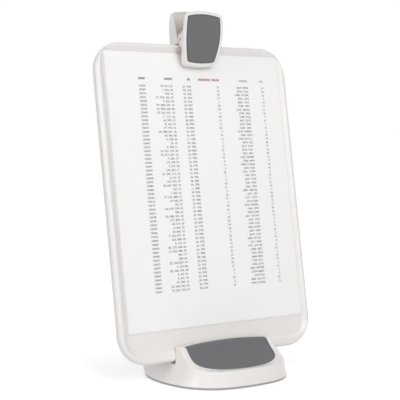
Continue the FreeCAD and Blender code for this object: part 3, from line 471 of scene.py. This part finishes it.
class Workbench:
    """A Geometry Nodes tree in the making, with named inputs."""

    def __init__(self, name):
        self.tree = bpy.data.node_groups.new(name, "GeometryNodeTree")
        self.tree.interface.new_socket("Geometry", in_out="INPUT", socket_type="NodeSocketGeometry")
        self.tree.interface.new_socket("Geometry", in_out="OUTPUT", socket_type="NodeSocketGeometry")
        self.start = self.tree.nodes.new("NodeGroupInput")
        self.end = self.tree.nodes.new("NodeGroupOutput")
        self.values = {}

    def named(self, name, value, kind="NodeSocketFloat"):
        """A named input of the tree with its value, for use as the input of a node."""
        socket = self.tree.interface.new_socket(name, in_out="INPUT", socket_type=kind)
        self.values[socket.identifier] = value
        return self.start.outputs[name]

    def add(self, kind, inputs=None, **settings):
        """Add a node to the tree."""
        return add_node(self.tree, kind, inputs, **settings)

    def close(self, geometry, material):
        """End the tree in Realize Instances and Set Material."""
        real = self.add("GeometryNodeRealizeInstances", {"Geometry": geometry}).outputs[0]
        dressed = self.add("GeometryNodeSetMaterial", {"Geometry": real, "Material": material}).outputs[0]
        self.tree.links.new(dressed, self.end.inputs[0])

    def make(self, name, seed_mesh=None):
        """Run the tree on a mesh and keep what comes out as a new object with a plain mesh."""
        carrier = bpy.data.objects.new(name + "_carrier", seed_mesh or bpy.data.meshes.new(name + "_seed"))
        bpy.context.scene.collection.objects.link(carrier)
        modifier = carrier.modifiers.new("tree", "NODES")
        modifier.node_group = self.tree
        for identifier, value in self.values.items():
            modifier[identifier] = value
        graph = bpy.context.evaluated_depsgraph_get()
        mesh = bpy.data.meshes.new_from_object(carrier.evaluated_get(graph), depsgraph=graph)
        mesh.name = name
        bpy.data.objects.remove(carrier)
        piece = bpy.data.objects.new(name, mesh)
        bpy.context.scene.collection.objects.link(piece)
        print(f"{name}: {len(mesh.vertices)} vertices, {len(mesh.polygons)} faces")
        return piece


# %% [markdown]
# ## The held pages
#
# The clip holds a few loose sheets, not one block. Seen from the side their edges are fine lines that
# don't quite line up. A Mesh Line gives one point for each sheet, a thin box is placed on each
# point, and a seeded Random Value pushes each sheet a little to the side and up, as far as the
# recess leaves room. The box of the CAD node that the sheets stand for gives the size.

# %% Loose sheets
SHEETS = 8
SHEET_AIR = 0.15
SHEET_SLIP = 0.18 * MM
SHEET_SEED = 4
page_left, page_right = span_along("held_pages", across)
page_foot, page_top = span_along("held_pages", upward)
page_back, page_front = span_along("held_pages", outward)
page_size = Vector((page_right - page_left, page_top - page_foot, page_front - page_back))
page_middle = Vector(((page_left + page_right) / 2, (page_foot + page_top) / 2, page_back))
to_board = Matrix((across, upward, outward)).transposed().to_4x4()


def loose_sheets():
    """The stack of sheets, round the point at the middle of its back."""
    bench = Workbench("sheet_stack")
    width = bench.named("Sheet Width", page_size.x - 2 * SHEET_SLIP)
    height = bench.named("Sheet Height", page_size.y - 2 * SHEET_SLIP)
    pitch = bench.named("Sheet Pitch", page_size.z / SHEETS)
    count = bench.named("Sheet Count", SHEETS, "NodeSocketInt")
    slip = bench.named("Slip", SHEET_SLIP)
    seed = bench.named("Seed", SHEET_SEED, "NodeSocketInt")
    step = bench.add("ShaderNodeCombineXYZ", {"Z": pitch}).outputs[0]
    thick = bench.add("ShaderNodeMath", {0: pitch, 1: 1 - SHEET_AIR}, operation="MULTIPLY").outputs[0]
    half = bench.add("ShaderNodeMath", {0: pitch, 1: 0.5}, operation="MULTIPLY").outputs[0]
    size = bench.add("ShaderNodeCombineXYZ", {"X": width, "Y": height, "Z": thick}).outputs[0]
    sheet = bench.add("GeometryNodeMeshCube", {"Size": size}).outputs["Mesh"]
    start = bench.add("ShaderNodeCombineXYZ", {"Z": half}).outputs[0]
    line = bench.add("GeometryNodeMeshLine", {"Count": count, "Start Location": start, "Offset": step})
    back = bench.add("ShaderNodeMath", {0: slip, 1: -1.0}, operation="MULTIPLY").outputs[0]
    low = bench.add("ShaderNodeCombineXYZ", {"X": back, "Y": back}).outputs[0]
    high = bench.add("ShaderNodeCombineXYZ", {"X": slip, "Y": slip}).outputs[0]
    slipped = bench.add("FunctionNodeRandomValue", {"Min": low, "Max": high, "Seed": seed},
                        data_type="FLOAT_VECTOR")
    moved = bench.add("GeometryNodeSetPosition", {
        "Geometry": line.outputs["Mesh"], "Offset": slipped.outputs["Value"]}).outputs[0]
    stack = bench.add("GeometryNodeInstanceOnPoints", {"Points": moved, "Instance": sheet}).outputs[0]
    bench.close(stack, paper)
    return bench.make("held_sheets")


sheets = loose_sheets()
sheets.data.transform(to_board @ Matrix.Translation(page_middle))
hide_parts("held_pages")
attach(sheets, "board")

# %% [markdown]
# ## The printed table
#
# The top page carries a table of small plain figures in six columns. The same few characters come again
# and again, so they are also copied on to points. Python makes one point for each character of a line, right
# aligned, with the character's number as an attribute. The tree turns the ten digits and four signs into
# filled outlines once, and picks one of them for each point.

# %% Glyphs on points
GLYPHS = "0123456789.,%-"
DIGIT_ADVANCE = 0.55
GLYPH_RISE = 0.02 * MM
GLYPH_RESOLUTION = 2
print_front = page_front + GLYPH_RISE


def character_points(name, lines, size):
    """A mesh with a point for each character of right-aligned lines, each (text, right, up)."""
    places, picks = [], []
    for text, right, up in lines:
        for number, character in enumerate(reversed(text)):
            if character == " ":
                continue
            places.append(on_board(right - (number + 1) * DIGIT_ADVANCE * size, up, print_front))
            picks.append(GLYPHS.index(character))
    mesh = bpy.data.meshes.new(name)
    mesh.from_pydata(places, [], [])
    mesh.attributes.new("glyph", "INT", "POINT").data.foreach_set("value", picks)
    return mesh


def printed(name, lines, size, strike, ink):
    """Print lines of figures in one ink, each struck twice, a small step apart, to make it bolder."""
    bench = Workbench(name + "_tree")
    glyph_size = bench.named("Glyph Size", size)
    step = bench.named("Strike", (strike, 0.0, 0.0), "NodeSocketVector")
    tilt = bench.named("Tilt", (math.pi / 2 - lean, 0.0, 0.0), "NodeSocketVector")
    glyphs = bench.add("GeometryNodeGeometryToInstance")
    for glyph in reversed(GLYPHS):
        drawn = bench.add("GeometryNodeStringToCurves", {"String": glyph, "Size": glyph_size})
        real = bench.add("GeometryNodeRealizeInstances", {"Geometry": drawn.outputs[0]}).outputs[0]
        coarse = bench.add("GeometryNodeSetSplineResolution", {
            "Geometry": real, "Resolution": GLYPH_RESOLUTION}).outputs[0]
        filled = bench.add("GeometryNodeFillCurve", {"Curve": coarse}).outputs[0]
        again = bench.add("GeometryNodeTransform", {"Geometry": filled, "Translation": step}).outputs[0]
        bold = bench.add("GeometryNodeJoinGeometry", {0: again})
        bench.tree.links.new(filled, bold.inputs[0])
        bench.tree.links.new(bold.outputs[0], glyphs.inputs[0])
    pick = bench.add("GeometryNodeInputNamedAttribute", {"Name": "glyph"}, data_type="INT")
    placed = bench.add("GeometryNodeInstanceOnPoints", {
        "Points": bench.start.outputs["Geometry"], "Instance": glyphs.outputs[0], "Pick Instance": True,
        "Instance Index": pick.outputs["Attribute"], "Rotation": tilt}).outputs[0]
    bench.close(placed, ink)
    piece = bench.make(name, character_points(name + "_points", lines, size))
    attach(piece, "board")
    return piece


# %% [markdown]
# ## What the table says
#
# The rows are random figures from a fixed seed, so the table is the same each time. Each column ends at its
# own distance from the page's left edge. The heads are plain noughts, in bolder print and other inks.

# %% The table's figures
PRINT_SEED = 11
ROWS = 54
TOP_ROW = page_foot + 244.0 * MM
HEAD_ROW = page_foot + 251.4 * MM
ROW_PITCH = 3.908 * MM
BODY_SIZE = 3.0 * MM
HEAD_SIZE = 3.5 * MM
BODY_STRIKE = 0.13 * MM
HEAD_STRIKE = 0.28 * MM
# The print lies a little askew on the page
PRINT_SKEW = -2.3 / 207
COLUMN_RIGHTS = {
    "code": page_left + 45.0 * MM,
    "amount": page_left + 77.7 * MM,
    "share": page_left + 99.8 * MM,
    "count": page_left + 135.6 * MM,
    "name": page_left + 173.8 * MM,
    "place": page_left + 194.6 * MM,
}
RED_HEAD_RIGHT = page_left + 136.6 * MM


def amount_text(draw):
    """An amount of money of a random length, with its commas."""
    return f"{draw.randrange(10 ** draw.choice((5, 6, 6, 7, 8, 10, 10))) / 100:,.2f}"


def table_lines():
    """The table's rows: a code, an amount, a share, a count, a pair of numbers and a place in each."""
    draw = random.Random(PRINT_SEED)
    lines = []
    for row in range(ROWS):
        up = TOP_ROW - row * ROW_PITCH
        texts = {
            "code": f"{10300 + row * 7 % 900}",
            "amount": amount_text(draw),
            "share": f"{draw.uniform(10, 70):.2f}%",
            "count": f"{draw.randrange(1, 32)}",
            "name": f"{draw.randrange(1000, 10000)} {draw.randrange(100, 10 ** draw.choice((4, 4, 6)))}",
            "place": f"{draw.randrange(1, 24)}",
        }
        drift = PRINT_SKEW * (TOP_ROW - up)
        lines += [(text, COLUMN_RIGHTS[column] + drift, up) for column, text in texts.items()]
    return lines


printed("print_body", table_lines(), BODY_SIZE, BODY_STRIKE, body_ink)
printed("print_heads", [
    ("0000", COLUMN_RIGHTS["code"], HEAD_ROW),
    ("00000", COLUMN_RIGHTS["amount"], HEAD_ROW),
    ("00", COLUMN_RIGHTS["share"], HEAD_ROW),
], HEAD_SIZE, HEAD_STRIKE, black_ink)
printed("print_red_head", [
    ("00000000 00000", RED_HEAD_RIGHT, HEAD_ROW),
], HEAD_SIZE, HEAD_STRIKE, red_ink)
printed("print_grey_heads", [
    ("0000000", COLUMN_RIGHTS["name"], HEAD_ROW),
    ("000", COLUMN_RIGHTS["place"], HEAD_ROW),
], BODY_SIZE, BODY_STRIKE, grey_ink)

# %% [markdown]
# ## The studio
#
# The object is shown as a catalogue shows it: on white, almost without a shadow, in the light of large
# soft boxes. The floor is a plain pale sheet. To the eye it is brighter than the light makes it, and Light
# Path's rays tell what is seen from the light that falls on the object, so the object isn't lit by more than
# it should be. Beside the object the floor glows less, so that it still shows the object's shadow.

# %% Floor and world
FLOOR_SIZE = 12.0
FLOOR_WHITE = 0.9
FLOOR_GRAIN = 2 * MM
NEAR_GLOW, NEAR_REACH = 0.47, 0.08
FAR_GLOW, FAR_REACH = 0.75, 0.4
WORLD_LIGHT = 0.36


def seen_rays(tree):
    """1 for the rays that show the surround: to the eye, in a reflection or through something clear."""
    path = add_node(tree, "ShaderNodeLightPath").outputs
    seen = path["Is Camera Ray"]
    for ray in ("Is Glossy Ray", "Is Transmission Ray"):
        seen = add_node(tree, "ShaderNodeMath", {0: seen, 1: path[ray]}, operation="MAXIMUM").outputs[0]
    return seen


def studio_floor():
    """A large pale floor that looks white to the camera and to reflections."""
    mesh = bpy.data.meshes.new("floor")
    half = FLOOR_SIZE / 2
    corners = [(-half, -half, 0), (half, -half, 0), (half, half, 0), (-half, half, 0)]
    mesh.from_pydata(corners, [], [(0, 1, 2, 3)])
    floor = bpy.data.objects.new("floor", mesh)
    bpy.context.scene.collection.objects.link(floor)
    material, tree, shader, places = new_material("floor_paper")
    grain = noise(tree, places, FLOOR_GRAIN, detail=3)
    tree.links.new(tinted(tree, between(tree, grain, 0, 1), shade((1, 1, 1), FLOOR_WHITE - 0.01),
                          shade((1, 1, 1), FLOOR_WHITE)), shader.inputs["Base Color"])
    shader.inputs["Roughness"].default_value = 0.9
    shader.inputs["Specular IOR Level"].default_value = 0.1
    reach = add_node(tree, "ShaderNodeVectorMath", {0: places}, operation="LENGTH").outputs["Value"]
    level = between(tree, reach, NEAR_GLOW, FAR_GLOW, NEAR_REACH, FAR_REACH)
    glow = add_node(tree, "ShaderNodeMath", {0: seen_rays(tree), 1: level}, operation="MULTIPLY").outputs[0]
    shader.inputs["Emission Color"].default_value = (1, 1, 1, 1)
    tree.links.new(glow, shader.inputs["Emission Strength"])
    mesh.materials.append(material)


def studio_world(level):
    """An even white surround: white to the camera and to reflections, and gentler as a light."""
    world = bpy.data.worlds.new("studio")
    world.use_nodes = True
    tree = world.node_tree
    background = next(node for node in tree.nodes if node.type == "BACKGROUND")
    background.inputs["Color"].default_value = (1, 1, 1, 1)
    strength = between(tree, seen_rays(tree), level, 1.0, 0.0, 1.0)
    tree.links.new(strength, background.inputs["Strength"])
    bpy.context.scene.world = world


studio_floor()
studio_world(WORLD_LIGHT)

# %% [markdown]
# ## The lamps
#
# These are four soft boxes, as a photographer would set them up. The front box gives most of the light and
# the shape of the bevels. The top box brightens what faces up, the side box fills the left walls, and a
# narrow strip helps the highlight down the foot's front. Together they light a face that is turned to the
# front about as much as its colour says, so the page stays a little under white.

# %% Lamps
AIM = Vector((0, 0, 0.19))
# Each lamp's place, width and height in metres, and power in watts
LAMPS = {
    "front_box": ((-0.2, -1.74, 0.95), 0.9, 0.9, 13.2),
    "top_box": ((0, -0.5, 1.9), 1.0, 1.0, 4.5),
    "side_box": ((-1.85, -0.35, 0.8), 0.8, 0.8, 8),
    "strip_box": ((-1.25, -1.3, 0.4), 0.12, 1.2, 2),
}


def soft_box(name, place, width, height, power):
    """A flat lamp at a place, turned towards the object."""
    lamp = bpy.data.lights.new(name, "AREA")
    lamp.shape = "RECTANGLE"
    lamp.size = width
    lamp.size_y = height
    lamp.energy = power
    box = bpy.data.objects.new(name, lamp)
    box.location = place
    box.rotation_euler = (AIM - Vector(place)).to_track_quat("-Z", "Y").to_euler()
    bpy.context.scene.collection.objects.link(box)


for name, settings in LAMPS.items():
    soft_box(name, *settings)
print(f"{len(LAMPS)} lamps")

# %% [markdown]
# ## The camera
#
# The photograph was taken from the left, a little above the middle of the object, with a long lens.
# These values were found by matching the page and the board's corners, and are given in
# the frame's own metres.

# %% Camera
CAMERA_PLACE = (-0.6599, -0.9292, 0.25445)
CAMERA_PITCH = 3.76
CAMERA_AZIMUTH = 34.6
FOCAL_PIXELS = 1122.3
PHOTO_PIXELS = 400
SENSOR = 36.0
NEAREST = 0.01

lens = bpy.data.cameras.new("camera")
lens.sensor_width = SENSOR
lens.lens = FOCAL_PIXELS / PHOTO_PIXELS * SENSOR
lens.clip_start = NEAREST
camera = bpy.data.objects.new("camera", lens)
camera.location = CAMERA_PLACE
camera.rotation_euler = Euler((math.radians(90 - CAMERA_PITCH), 0, math.radians(-CAMERA_AZIMUTH)))
bpy.context.scene.collection.objects.link(camera)
bpy.context.scene.camera = camera
bpy.context.scene.view_settings.view_transform = "Standard"
print(f"Lens {lens.lens:.0f} mm")
